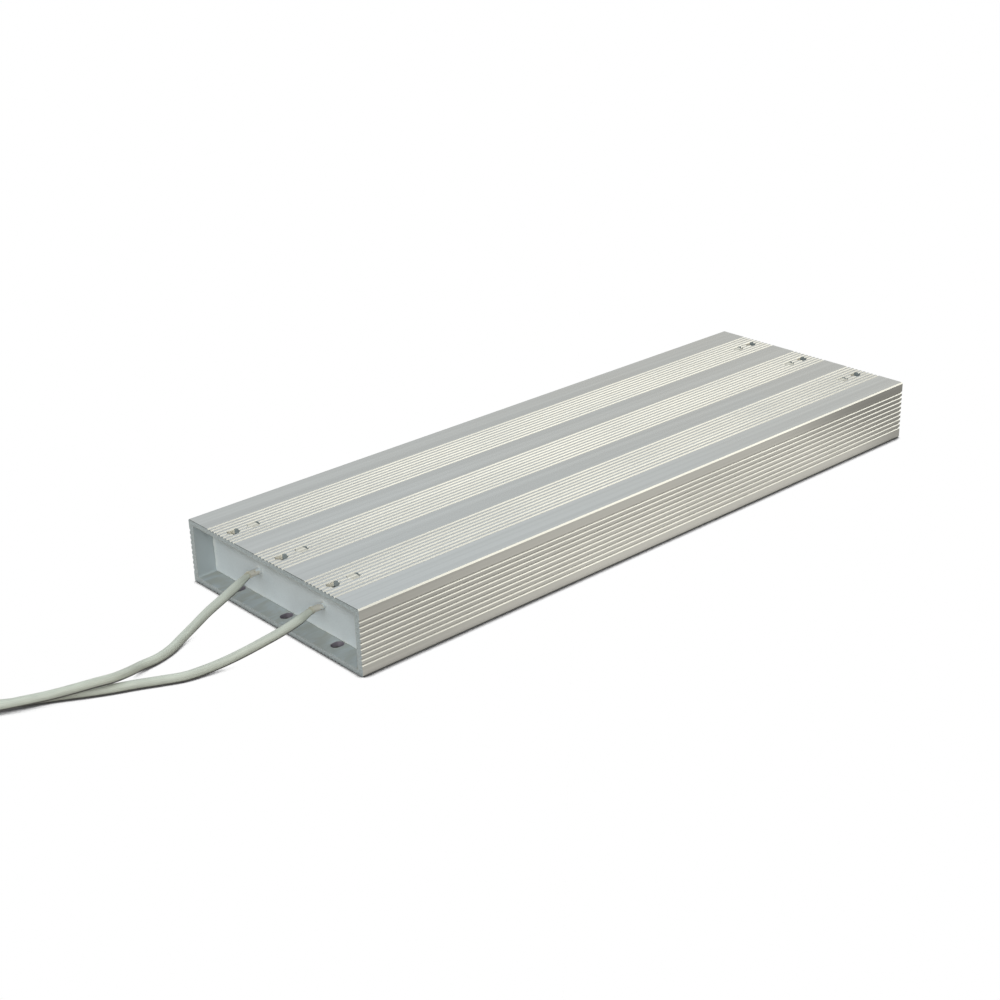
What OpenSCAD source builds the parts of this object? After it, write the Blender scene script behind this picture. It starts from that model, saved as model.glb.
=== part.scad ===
// Flat wirewound power resistor in a grooved aluminium housing, with two leads at one end.
// Millimetres. The origin is at the middle of the housing's underside, X runs along the
// housing with the leads at -X, and Z is up.

/* [Housing] */
// Length of the extrusion
length = 350; // [250:5:500]
// Width of the extrusion
width = 120; // [116:1:160]
// Height of the extrusion
height = 30; // [27:0.5:45]
// Thickness of the top and the underside, measured on the flats
wall = 2.5; // [2:0.1:4]
// Thickness of the two side walls, measured on the flats
side_wall = 3; // [2.4:0.1:4.5]
// Radius of the four outer corners
outer_radius = 1; // [0.4:0.1:2]
// Radius of the four corners of the hollow
inner_radius = 1; // [0.5:0.1:3]

/* [Grooves] */
// Distance from one groove to the next
groove_pitch = 2.4; // [2:0.05:2.8]
// Width of a groove at the surface
groove_mouth = 1.2; // [0.8:0.05:1.7]
// Width of a groove at its floor
groove_floor = 0.2; // [0.1:0.05:0.7]
// Depth of a groove
groove_depth = 0.6; // [0.4:0.05:1.1]
// Grooves in each band of the top and the underside
band_grooves = 9; // [3:2:11]
// Distance from the middle band to the outer ones
band_spacing = 35; // [28:0.5:38]
// Grooves in each side
side_grooves = 9; // [3:2:9]

/* [Slots] */
// Width of a fixing slot
slot_width = 4.5; // [3:0.1:5.5]
// Length of a fixing slot from end to end
slot_length = 6; // [5.6:0.1:7]
// Distance from the end of the housing to the middle of a fixing slot
slot_inset = 6.5; // [5:0.1:8]
// Width of a slot that anchors a seal
anchor_width = 4.5; // [3:0.1:5.5]
// Length of a slot that anchors a seal
anchor_length = 6; // [5.6:0.1:7]

/* [Seals] */
// Depth of the open recess at each end
recess_depth = 9.8; // [9.6:0.1:11.5]
// Thickness of a seal along the housing
seal_depth = 14; // [12:0.5:16]
// How far the cement in an anchor slot stops below the surface
anchor_setback = 0.8; // [0.7:0.1:1.6]

/* [Resistance elements] */
// Room for sand between an end cap and the seal behind it
cap_room = 3.5; // [2.5:0.5:5]
// Width of a former across the housing
former_width = 40; // [30:1:46]
// Height of a former
former_height = 11; // [8:0.5:13]
// Distance between the middles of the two formers
former_spacing = 55; // [50:1:60]
// Turns of ribbon on each former
winding_turns = 30; // [10:1:36]
// Width of the resistance ribbon
ribbon_width = 3.5; // [2:0.1:4]
// Thickness of the resistance ribbon
ribbon_thickness = 0.7; // [0.4:0.05:0.9]
// Length of an end cap's skirt over the former
cap_skirt = 8; // [5:0.5:12]
// Wall of an end cap
cap_wall = 0.8; // [0.5:0.05:1]
// Thickness of an end cap's end plate
cap_plate = 1; // [0.6:0.1:1.5]
// Width of the strap that joins the rear caps
link_width = 8; // [5:0.5:9]
// Thickness of the strap
link_thickness = 1.2; // [0.8:0.1:2]
// How far the strap reaches past the middle of each rear cap
link_reach = 8; // [5:0.5:12]

/* [Leads] */
// Distance between the two leads where they leave the seal
lead_spacing = 45; // [42:1:60]
// How far below the middle of the seal the leads leave it
lead_drop = 0.5; // [0:0.1:1]
// Diameter of a lead over its sleeve
lead_diameter = 4; // [3:0.1:5]
// Diameter of the inner wire, which goes through the seal
core_diameter = 2.8; // [2:0.1:3]
// Length of inner wire between the seal and the sleeve
core_bare = 6; // [4:0.5:8]
// Diameter of the ferrule that joins a lead to its end cap
ferrule_diameter = 4.4; // [3.6:0.1:6]
// Length of a ferrule
ferrule_length = 8; // [6:0.5:12]
// Diameter of the tinned strands at a lead's free end
strand_diameter = 1.8; // [1:0.1:2.4]
// Length of the tinned strands
strand_length = 8; // [5:0.5:12]

/* [Hidden] */

// How far a cutting shape runs past the face that it cuts
cut_past = 1;
// Room between the ribbon and what lies inside and outside it
ribbon_gap = 0.05;
// Room between an element and the filler around it
filler_gap = 0.4;
// Flat facets that the ribbon takes round each end of a former
ribbon_bends = 6;
// Sides of a lead's tube
lead_sides = 10;
$fn = 48;

bare_aluminium = [0.70, 0.72, 0.73];
grey_cement = [0.68, 0.71, 0.72];
sand = [0.80, 0.76, 0.66];
white_ceramic = [0.93, 0.91, 0.86];
resistance_alloy = [0.45, 0.42, 0.40];
plated_steel = [0.64, 0.62, 0.58];
tinned_brass = [0.80, 0.74, 0.60];
beige_insulation = [0.66, 0.60, 0.48];
cream_sleeve = [0.82, 0.83, 0.77];
tinned_copper = [0.78, 0.78, 0.76];

// Left is +Y and right is -Y, as seen from the lead end
LEFT = 1;
RIGHT = -1;
// The rear end is +X and the front end, with the leads, is -X
REAR = 1;
FRONT = -1;

mid_height = height / 2;
lead_height = mid_height - lead_drop;
seal_face = length / 2 - recess_depth;
seal_back = seal_face - seal_depth;
slot_place = length / 2 - slot_inset;
anchor_place = (seal_face + seal_back) / 2;
cap_face = seal_back - cap_room;
former_end = cap_face - cap_plate;
sleeve_start = seal_face + core_bare;
winding_length = 2 * (former_end - cap_skirt - ribbon_gap);
winding_pitch = (winding_length - ribbon_width) / winding_turns;
winding_corners = 2 * ribbon_bends;

// Route of the left lead, with X from the start of its sleeve:
// out of the end, down to the floor, over the right lead, then back in a bend
left_route = [
    [0, LEFT * lead_spacing / 2, lead_height],
    [-7.5, 20, 13], [-15.5, 19.1, 10.2], [-23.5, 18.6, 7.2], [-31.5, 16.8, 4.5],
    [-39.5, 14, 2.8], [-47.5, 10.2, 2.1], [-55.5, 7.7, 2], [-63.5, 6.2, 2.7], [-71.5, 2.2, 4.7],
    [-79.5, -0.5, 6.4], [-87.5, 0.6, 6.8], [-95.5, 3, 6.4], [-103.5, 6.1, 5.8], [-110.5, 10.3, 4.9],
    [-117.5, 14.5, 4.1], [-124.5, 19.1, 3.1], [-133.5, 26, 2.2], [-142.5, 32.6, 2], [-151.5, 39.4, 2],
    [-160.5, 46, 2], [-168.5, 53, 2], [-174.5, 61.5, 2], [-177.5, 71, 2], [-176.5, 81, 2],
    [-171, 89.5, 2], [-162.5, 95, 2], [-152.5, 97, 2], [-142.5, 97, 2], [-132.5, 97, 2],
    [-124.5, 97, 2], [-118.5, 97, 2]
];
// Route of the right lead: down to the floor, under the left lead, then back inside its bend
right_route = [
    [0, RIGHT * lead_spacing / 2, lead_height],
    [-7.5, -23.8, 13.1], [-15.5, -22.6, 10.5], [-23.5, -20.3, 7.8], [-31.5, -17.8, 5.2],
    [-39.5, -15.8, 3.4], [-47.5, -14.1, 2.4], [-55.5, -12.3, 2], [-63.5, -8.6, 2], [-71.5, -4.6, 2],
    [-79.5, -1.1, 2], [-87.5, 2.9, 2], [-95.5, 7.5, 2], [-103.5, 11.8, 2], [-110.5, 15.3, 2],
    [-117.5, 19.4, 2], [-124.5, 24.4, 2], [-133.5, 32, 2], [-142.5, 38.6, 2], [-151.5, 45, 2],
    [-160, 51.5, 2], [-167, 59, 2], [-171.5, 68, 2], [-172, 78, 2], [-168, 86, 2],
    [-160.5, 91, 2], [-151.5, 92.4, 2], [-141.5, 92.4, 2], [-131.5, 92.4, 2], [-121.5, 92.4, 2],
    [-112.5, 92.4, 2], [-104.5, 92.4, 2]
];

// A rectangle with round corners, centred
module rounded_rect(w, h, r) {
    square([w - 2 * r, h], center = true);
    square([w, h - 2 * r], center = true);
    for (x = [-1, 1], y = [-1, 1])
        translate([x * (w / 2 - r), y * (h / 2 - r)]) circle(r);
}

// A straight slot with round ends, centred, with its length along X
module obround(l, w) {
    square([l - w, w], center = true);
    for (x = [-1, 1]) translate([x * (l - w) / 2, 0]) circle(d = w);
}

// A shape drawn in Y and Z, run along X from one place to another
module along_x(from, to) {
    translate([from, 0, 0]) rotate([90, 0, 90]) linear_extrude(to - from) children();
}

// A groove that opens at Y = 0 and runs down
module groove() {
    polygon([
        [-groove_mouth / 2, cut_past], [-groove_mouth / 2, 0], [-groove_floor / 2, -groove_depth],
        [groove_floor / 2, -groove_depth], [groove_mouth / 2, 0], [groove_mouth / 2, cut_past]
    ]);
}

module groove_row(count) {
    for (i = [0 : count - 1]) translate([(i - (count - 1) / 2) * groove_pitch, 0]) groove();
}

// The hollow of the extrusion
module hollow_outline() {
    translate([0, mid_height]) rounded_rect(width - 2 * side_wall, height - 2 * wall, inner_radius);
}

module housing_outline() {
    difference() {
        translate([0, mid_height]) rounded_rect(width, height, outer_radius);
        for (band = [-1 : 1]) {
            translate([band * band_spacing, height]) groove_row(band_grooves);
            translate([band * band_spacing, 0]) rotate(180) groove_row(band_grooves);
        }
        translate([width / 2, mid_height]) rotate(-90) groove_row(side_grooves);
        translate([-width / 2, mid_height]) rotate(90) groove_row(side_grooves);
        hollow_outline();
    }
}

// Rows of slots in the middle of each band, at a place along the housing towards each end
module slot_rows(place, l, w, ends, bottom, top) {
    for (end = ends, band = [-1 : 1])
        translate([end * place, band * band_spacing, bottom])
            linear_extrude(top - bottom) obround(l, w);
}

module housing() {
    color(bare_aluminium) difference() {
        along_x(-length / 2, length / 2) housing_outline();
        slot_rows(slot_place, slot_length, slot_width, [FRONT, REAR], -cut_past, height + cut_past);
        slot_rows(anchor_place, anchor_length, anchor_width, [FRONT, REAR], -cut_past, height + cut_past);
    }
}

// Cement cast into one end, and into its row of anchor slots
module seal(end) {
    along_x(min(end * seal_back, end * seal_face), max(end * seal_back, end * seal_face)) hollow_outline();
    slot_rows(anchor_place, anchor_length, anchor_width, [end], anchor_setback, height - anchor_setback);
}

// A round bar along X, from one place to another, at a lead's place
module lead_bar(side, d, from, to) {
    translate([from, side * lead_spacing / 2, lead_height]) rotate([0, 90, 0]) cylinder(h = to - from, d = d);
}

module front_seal() {
    color(grey_cement) difference() {
        seal(FRONT);
        for (side = [LEFT, RIGHT]) {
            lead_bar(side, core_diameter, -seal_face - cut_past, -seal_back + cut_past);
            lead_bar(side, ferrule_diameter, -cap_face - ferrule_length, -seal_back + cut_past);
        }
    }
}

module rear_seal() {
    color(grey_cement) seal(REAR);
}

// A former's outline in Y and Z, grown by a margin, at its place
module former_outline(side, margin) {
    translate([side * former_spacing / 2, mid_height])
        obround(former_width + 2 * margin, former_height + 2 * margin);
}

module former(side) {
    color(white_ceramic) along_x(-former_end, former_end) former_outline(side, 0);
}

// Corner i of the path round a former, at a height above its surface, in Y and Z
function wrap_corner(i, above) =
    let (
        at_left = (i % winding_corners) < ribbon_bends ? 1 : -1,
        angle = 90 - (i % ribbon_bends + 0.5) * 180 / ribbon_bends,
        r = (former_height / 2 + above) / cos(90 / ribbon_bends),
        straight = (former_width - former_height) / 2
    )
    [at_left * (straight + r * cos(angle)), at_left * r * sin(angle)];

// The ribbon's four corners at step i of its helix
function ribbon_ring(i) =
    let (
        x = -winding_length / 2 + ribbon_width / 2 + winding_pitch * i / winding_corners,
        low = wrap_corner(i, ribbon_gap),
        high = wrap_corner(i, ribbon_gap + ribbon_thickness),
        half = ribbon_width / 2
    )
    [
        [x - half, low[0], low[1]], [x + half, low[0], low[1]],
        [x + half, high[0], high[1]], [x - half, high[0], high[1]]
    ];

// Triangles that join rings of points into a closed tube, each ring with the same number of sides
function tube_faces(rings, sides) = [
    [for (k = [0 : sides - 1]) k],
    for (i = [0 : rings - 2], k = [0 : sides - 1])
        let (a = i * sides + k, b = i * sides + (k + 1) % sides)
        each [[a, a + sides, b], [b, a + sides, b + sides]],
    [for (k = [sides - 1 : -1 : 0]) (rings - 1) * sides + k]
];

module winding(side) {
    steps = winding_turns * winding_corners;
    points = [for (i = [0 : steps]) each ribbon_ring(i)];
    color(resistance_alloy) translate([0, side * former_spacing / 2, mid_height])
        polyhedron(points, tube_faces(steps + 1, 4));
}

// A metal cap over one end of a former
module end_cap(side, end) {
    inner_x = end * (former_end - cap_skirt);
    color(plated_steel) difference() {
        along_x(min(inner_x, end * cap_face), max(inner_x, end * cap_face)) former_outline(side, cap_wall);
        along_x(-former_end, former_end) former_outline(side, 0);
    }
}

// The strap's outline in Y and Z
module link_outline(margin) {
    translate([0, mid_height])
        obround(former_spacing + 2 * link_reach + 2 * margin, link_width + 2 * margin);
}

module series_link() {
    color(plated_steel) along_x(cap_face, cap_face + link_thickness) link_outline(0);
}

// Sand packed round the elements, between the seals
module filler() {
    envelope = max(cap_wall, ribbon_gap + ribbon_thickness) + filler_gap;
    color(sand) difference() {
        along_x(-seal_back, seal_back) hollow_outline();
        for (side = [LEFT, RIGHT]) {
            along_x(-cap_face, cap_face) former_outline(side, envelope);
            lead_bar(side, ferrule_diameter, -seal_back - cut_past, -cap_face + cut_past);
        }
        along_x(cap_face - cut_past, cap_face + link_thickness) link_outline(filler_gap);
    }
}

module ferrule(side) {
    color(tinned_brass) difference() {
        lead_bar(side, ferrule_diameter, -cap_face - ferrule_length, -cap_face);
        lead_bar(side, core_diameter, -cap_face - ferrule_length - cut_past, -cap_face + cut_past);
    }
}

module lead_core(side) {
    color(beige_insulation) lead_bar(side, core_diameter, -sleeve_start, -cap_face);
}

// Direction of a route at point i: straight out of the seal at its start, and along +X at its end
function heading(route, i) =
    i == 0 ? [-1, 0, 0] :
    i == len(route) - 1 ? [1, 0, 0] :
    let (d = route[i + 1] - route[i - 1]) d / norm(d);

// Ring of points round a route at point i
function lead_ring(route, i) =
    let (
        ahead = heading(route, i),
        across = cross(ahead, [0, 0, 1]) / norm(cross(ahead, [0, 0, 1])),
        up = cross(across, ahead)
    )
    [
        for (k = [0 : lead_sides - 1])
            let (a = 360 * (k + 0.5) / lead_sides)
            route[i] + lead_diameter / 2 * (cos(a) * across + sin(a) * up)
    ];

module lead(route) {
    points = [for (i = [0 : len(route) - 1]) each lead_ring(route, i)];
    color(cream_sleeve) translate([-sleeve_start, 0, 0])
        polyhedron(points, tube_faces(len(route), lead_sides));
}

// Tinned strands with a round tip, at the end of a route
module lead_end(route) {
    r = strand_diameter / 2;
    tip = route[len(route) - 1] - [sleeve_start, 0, 0];
    color(tinned_copper) translate(tip) rotate([0, 90, 0]) {
        cylinder(h = strand_length - r, r = r);
        translate([0, 0, strand_length - r]) sphere(r);
    }
}

housing();
front_seal();
rear_seal();
filler();
former(LEFT);  // former_left
former(RIGHT);  // former_right
winding(LEFT);  // winding_left
winding(RIGHT);  // winding_right
end_cap(LEFT, FRONT);  // front_cap_left
end_cap(RIGHT, FRONT);  // front_cap_right
end_cap(LEFT, REAR);  // rear_cap_left
end_cap(RIGHT, REAR);  // rear_cap_right
series_link();
ferrule(LEFT);  // ferrule_left
ferrule(RIGHT);  // ferrule_right
lead_core(LEFT);  // lead_core_left
lead_core(RIGHT);  // lead_core_right
lead(left_route);  // lead_left
lead(right_route);  // lead_right
lead_end(left_route);  // lead_end_left
lead_end(right_route);  // lead_end_right
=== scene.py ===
"""Looks of a flat power resistor in a grooved aluminium housing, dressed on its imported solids.

The file is laid out as an add-on: settings, an operator for each group of pieces and one for the stage, and a
panel.
"""

import math
from functools import partial

import bmesh
import bpy
import numpy as np
from bpy.props import FloatProperty, FloatVectorProperty, IntProperty, PointerProperty
from mathutils import Matrix, Vector, noise


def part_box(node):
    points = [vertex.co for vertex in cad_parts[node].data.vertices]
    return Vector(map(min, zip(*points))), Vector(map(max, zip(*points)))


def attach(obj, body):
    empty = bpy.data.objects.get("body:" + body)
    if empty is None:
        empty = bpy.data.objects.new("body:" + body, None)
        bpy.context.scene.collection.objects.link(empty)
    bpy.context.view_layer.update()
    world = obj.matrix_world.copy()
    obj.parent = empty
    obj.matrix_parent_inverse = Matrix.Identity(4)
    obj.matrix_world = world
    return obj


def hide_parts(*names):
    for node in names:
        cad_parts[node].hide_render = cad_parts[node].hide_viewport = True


bl_info = {
    "name": "Flat power resistor",
    "version": (1, 0, 0),
    "blender": (4, 5, 0),
    "location": "View3D > Sidebar > Resistor",
    "description": "Dresses the solids of a flat power resistor in a grooved aluminium housing",
    "category": "Object",
}

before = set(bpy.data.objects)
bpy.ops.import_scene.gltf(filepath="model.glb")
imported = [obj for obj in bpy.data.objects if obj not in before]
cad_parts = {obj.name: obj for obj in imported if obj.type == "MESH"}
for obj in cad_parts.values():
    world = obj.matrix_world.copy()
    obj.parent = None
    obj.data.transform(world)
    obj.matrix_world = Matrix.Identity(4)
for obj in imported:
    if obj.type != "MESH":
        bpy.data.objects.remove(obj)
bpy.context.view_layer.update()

MM = 0.001
ROOT = "root"

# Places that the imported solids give: the housing, its hollow, the cast seals and the leads
HOUSING_LOW, HOUSING_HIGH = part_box("housing")
HOLLOW_LOW, HOLLOW_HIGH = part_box("filler")
FRONT_SEAL_LOW, FRONT_SEAL_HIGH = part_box("front_seal")
REAR_SEAL_LOW, REAR_SEAL_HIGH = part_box("rear_seal")
SEAL_DEPTH = FRONT_SEAL_HIGH[0] - FRONT_SEAL_LOW[0]
CORE_LOW, CORE_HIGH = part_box("lead_core_left")
SLEEVE_START = CORE_LOW[0]
LEAD_HEIGHT = (CORE_LOW[2] + CORE_HIGH[2]) / 2
LEAD_OFFSET = (CORE_LOW[1] + CORE_HIGH[1]) / 2
HALF_HEIGHT = (HOUSING_HIGH[2] - HOUSING_LOW[2]) / 2
HALF_HOLLOW = HOLLOW_HIGH[2] - HALF_HEIGHT

# The leads' routes, in millimetres, X from the start of the sleeve. Both leave the seal, drop to the table,
# run together past the picture's edge and fold back beside each other, their bare strands towards +X
LEFT_ROUTE = (
    (0, 22.5, 14.5), (-7.5, 20, 13), (-15.5, 19.1, 10.2), (-23.5, 18.6, 7.2), (-31.5, 16.8, 4.5),
    (-39.5, 14, 2.8), (-47.5, 10.2, 2.1), (-55.5, 7.7, 2), (-63.5, 6.2, 2.7), (-71.5, 2.2, 4.7),
    (-79.5, -0.5, 6.4), (-87.5, 0.6, 6.8), (-95.5, 3, 6.4), (-103.5, 6.1, 5.8), (-110.5, 10.3, 4.9),
    (-117.5, 14.5, 4.1), (-124.5, 19.1, 3.1), (-133.5, 26, 2.2), (-142.5, 32.6, 2), (-151.5, 39.4, 2),
    (-160.5, 46, 2), (-168.5, 53, 2), (-174.5, 61.5, 2), (-177.5, 71, 2), (-176.5, 81, 2),
    (-171, 89.5, 2), (-162.5, 95, 2), (-152.5, 97, 2), (-142.5, 97, 2), (-132.5, 97, 2),
    (-124.5, 97, 2), (-118.5, 97, 2),
)
RIGHT_ROUTE = (
    (0, -22.5, 14.5), (-7.5, -23.8, 13.1), (-15.5, -22.6, 10.5), (-23.5, -20.3, 7.8), (-31.5, -17.8, 5.2),
    (-39.5, -15.8, 3.4), (-47.5, -14.1, 2.4), (-55.5, -12.3, 2), (-63.5, -8.6, 2), (-71.5, -4.6, 2),
    (-79.5, -1.1, 2), (-87.5, 2.9, 2), (-95.5, 7.5, 2), (-103.5, 11.8, 2), (-110.5, 15.3, 2),
    (-117.5, 19.4, 2), (-124.5, 24.4, 2), (-133.5, 32, 2), (-142.5, 38.6, 2), (-151.5, 45, 2),
    (-160, 51.5, 2), (-167, 59, 2), (-171.5, 68, 2), (-172, 78, 2), (-168, 86, 2),
    (-160.5, 91, 2), (-151.5, 92.4, 2), (-141.5, 92.4, 2), (-131.5, 92.4, 2), (-121.5, 92.4, 2),
    (-112.5, 92.4, 2), (-104.5, 92.4, 2),
)
SIDES = (("left", 1, LEFT_ROUTE), ("right", -1, RIGHT_ROUTE))
# Steps from one point of a route to the next, and the way on past its last point, which sets the last bend
ROUTE_STEPS = 10
ROUTE_END = Vector((9 * MM, 0, 0))

# The cast seals: how deep the poured face moves, how far its rims reach from the walls, the left wall and the
# wires, how high they climb there, their paleness, and the waves of the face, their scales a metre
SKIN_DEPTH = 1.2 * MM
WALL_REACH = 0.45 * MM
LEFT_REACH, LEFT_RISE = 1.3 * MM, 1.5
WIRE_REACH, WIRE_RISE = 0.8 * MM, 0.8
RIM_PALENESS = 0.8
WAVE_SCALE, WAVE_START = 90, Vector((7, 3, 1))
RIPPLE_SCALE, RIPPLE_HEIGHT, RIPPLE_SHARE = 420, 0.03 * MM, 0.5
# The wiped plugs in the slots: how low they lie, their share of a groove's depth, and how they shrank
WIPED_DROP, WIPED_GROOVE = 0.12 * MM, 0.4
SHRINK_DEPTH, SHRINK_START, SHRINK_RUN = 0.5 * MM, 1.9 * MM, 0.6 * MM

# The sleeves are drawn tight over the wires at their start, and frayed at the cut
NECK_SLACK, NECK_START, NECK_END = 0.3 * MM, 1.5 * MM, 8.5 * MM
SLEEVE_FACETS = 32
YARN_LENGTH, YARN_DIAMETER = 1.6 * MM, 0.2 * MM
FRAY_INSET, FRAY_SHARE, FRAY_SEED = 0.3 * MM, 0.52, 11

# Edges sharper than this stay sharp, on the extrusion and on the leads. Corners nearer than WELD are one
EXTRUSION_ANGLE, LEAD_ANGLE = math.radians(38), math.radians(50)
WELD = 0.001 * MM

# Table: its half width and its drop under the housing. Lamps: name, place, size, the setting of the power and
# the colour. Camera: the width of its picture in millimetres
TABLE_REACH, TABLE_DROP = 4.0, 0.02 * MM
LAMPS = (
    ("key_light", (0.94, -0.6, 1.04), (0.95, 0.95), "key_power", "#FFF4DE"),
    ("fill_light", (-1.0, -1.0, 0.62), (0.9, 0.9), "fill_power", "#FAFAF6"),
    ("tube_light", (-1.64, -0.55, 1.55), (1.2, 0.08), "tube_power", "#F8FCFF"),
)
SENSOR_WIDTH = 36

# Kinds of node that come up often, the smooth ramp, and the span that holds nearly all values of a noise
MATH = "ShaderNodeMath"
VECTOR = "ShaderNodeVectorMath"
RANGE = "ShaderNodeMapRange"
MIX = "ShaderNodeMix"
NOISE = "ShaderNodeTexNoise"
MAPPING = "ShaderNodeMapping"
BUMP = "ShaderNodeBump"
SPLIT = "ShaderNodeSeparateXYZ"
COMBINE = "ShaderNodeCombineXYZ"
COORDINATES = "ShaderNodeTexCoord"
GEOMETRY = "ShaderNodeNewGeometry"
LIGHT_PATH = "ShaderNodeLightPath"
POSITION = "GeometryNodeInputPosition"
SPLINE = "GeometryNodeSplineParameter"
STORE = "GeometryNodeStoreNamedAttribute"
TRANSFORM = "GeometryNodeTransform"
JOIN = "GeometryNodeJoinGeometry"
MERGE = "GeometryNodeMergeByDistance"
REALIZE = "GeometryNodeRealizeInstances"
INSTANCE = "GeometryNodeInstanceOnPoints"
MESH_LINE = "GeometryNodeMeshLine"
MESH_CIRCLE = "GeometryNodeMeshCircle"
CIRCLE = "GeometryNodeCurvePrimitiveCircle"
QUADRILATERAL = "GeometryNodeCurvePrimitiveQuadrilateral"
FILLET = "GeometryNodeFilletCurve"
CURVE_TO_MESH = "GeometryNodeCurveToMesh"
RANDOM = "FunctionNodeRandomValue"
SMOOTH = {"interpolation_type": "SMOOTHSTEP"}
NOISE_SPAN = (0.3, 0.7)


def linear(code):
    """Turns an sRGB hex colour into the linear colour that a shader takes."""
    parts = [int(code[place:place + 2], 16) / 255 for place in (1, 3, 5)]
    return tuple(part / 12.92 if part <= 0.04045 else ((part + 0.055) / 1.055) ** 2.4 for part in parts)


# Settings

class HousingSettings(bpy.types.PropertyGroup):
    """Sizes of the grooved extrusion."""

    groove_pitch: FloatProperty(
        name="Groove pitch", description="Distance from one groove to the next",
        default=2.4 * MM, unit="LENGTH")
    groove_mouth: FloatProperty(
        name="Groove mouth", description="Width of a groove at the surface", default=1.2 * MM, unit="LENGTH")
    groove_floor: FloatProperty(
        name="Groove floor", description="Width of a groove at its bottom", default=0.2 * MM, unit="LENGTH")
    groove_depth: FloatProperty(
        name="Groove depth", description="Depth of a groove", default=0.6 * MM, unit="LENGTH")
    lip_radius: FloatProperty(
        name="Lip radius", description="Rounding of the groove's lips and bottom, as the die leaves them",
        default=0.1 * MM, unit="LENGTH")
    bands: IntProperty(
        name="Bands", description="Grooved bands on the top and on the bottom", default=3, min=1)
    band_grooves: IntProperty(
        name="Grooves in a band", description="Grooves in each band of the top and bottom", default=9, min=1)
    band_spacing: FloatProperty(
        name="Band spacing", description="Distance between the middles of two bands, and of two slots",
        default=35 * MM, unit="LENGTH")
    side_grooves: IntProperty(
        name="Side grooves", description="Grooves on each side of the housing", default=9, min=1)
    corner_break: FloatProperty(
        name="Corner break", description="Slant that breaks the housing's long outer edges",
        default=0.65 * MM, unit="LENGTH")
    hollow_radius: FloatProperty(
        name="Hollow radius", description="Rounding of the hollow's long inner edges",
        default=1 * MM, unit="LENGTH")
    slot_width: FloatProperty(
        name="Slot width", description="Width of the punched slots", default=4.5 * MM, unit="LENGTH")
    slot_length: FloatProperty(
        name="Slot length", description="Length of the punched slots, along the housing",
        default=6 * MM, unit="LENGTH")
    slot_inset: FloatProperty(
        name="Slot inset", description="Distance from the end to the middle of the open slots",
        default=6.5 * MM, unit="LENGTH")


class SealSettings(bpy.types.PropertyGroup):
    """Sizes of the cast plugs that close the two ends."""

    grain: FloatProperty(
        name="Mesh grain", description="Size of the cells of the cast surface",
        default=0.55 * MM, unit="LENGTH")
    creep: FloatProperty(
        name="Creep", description="How far the cement climbs up the walls and the wires",
        default=0.35 * MM, unit="LENGTH")
    unevenness: FloatProperty(
        name="Unevenness", description="Height of the slow waves on the poured face",
        default=0.1 * MM, unit="LENGTH")


class LeadSettings(bpy.types.PropertyGroup):
    """Sizes of the sleeved leads."""

    sleeve_diameter: FloatProperty(
        name="Sleeve diameter", description="Outer diameter of the braided sleeve",
        default=4 * MM, unit="LENGTH")
    core_diameter: FloatProperty(
        name="Core diameter", description="Outer diameter of the insulated wire in the sleeve",
        default=2.8 * MM, unit="LENGTH")
    strand_diameter: FloatProperty(
        name="Strand diameter", description="Diameter of one tinned strand", default=0.34 * MM, unit="LENGTH")
    strand_length: FloatProperty(
        name="Strand length", description="Length of the bare tinned end", default=8 * MM, unit="LENGTH")
    strand_twist: FloatProperty(
        name="Strand twist", description="Turn of the strands over the bare end",
        default=2.2, subtype="ANGLE")
    frayed_yarns: IntProperty(
        name="Frayed yarns", description="Loose yarn ends at each cut of the sleeve", default=44, min=1)


class FinishSettings(bpy.types.PropertyGroup):
    """Colours of the surfaces."""

    aluminium: FloatVectorProperty(
        name="Aluminium", description="Satin anodised skin of the extrusion",
        default=linear("#C9CCCB"), subtype="COLOR", min=0, max=1)
    sawn_aluminium: FloatVectorProperty(
        name="Sawn aluminium", description="Cut ends of the extrusion",
        default=linear("#BAC6CC"), subtype="COLOR", min=0, max=1)
    dull_aluminium: FloatVectorProperty(
        name="Dull aluminium", description="Inside of the housing, stained by the pour",
        default=linear("#AAB4B6"), subtype="COLOR", min=0, max=1)
    cement: FloatVectorProperty(
        name="Cement", description="Cast face of the seals",
        default=linear("#CBD3D6"), subtype="COLOR", min=0, max=1)
    sleeve: FloatVectorProperty(
        name="Sleeve", description="Varnished glass braid of the leads",
        default=linear("#C4C9BD"), subtype="COLOR", min=0, max=1)
    insulation: FloatVectorProperty(
        name="Insulation", description="Rubber of the inner wires",
        default=linear("#C4C2B8"), subtype="COLOR", min=0, max=1)


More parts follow.
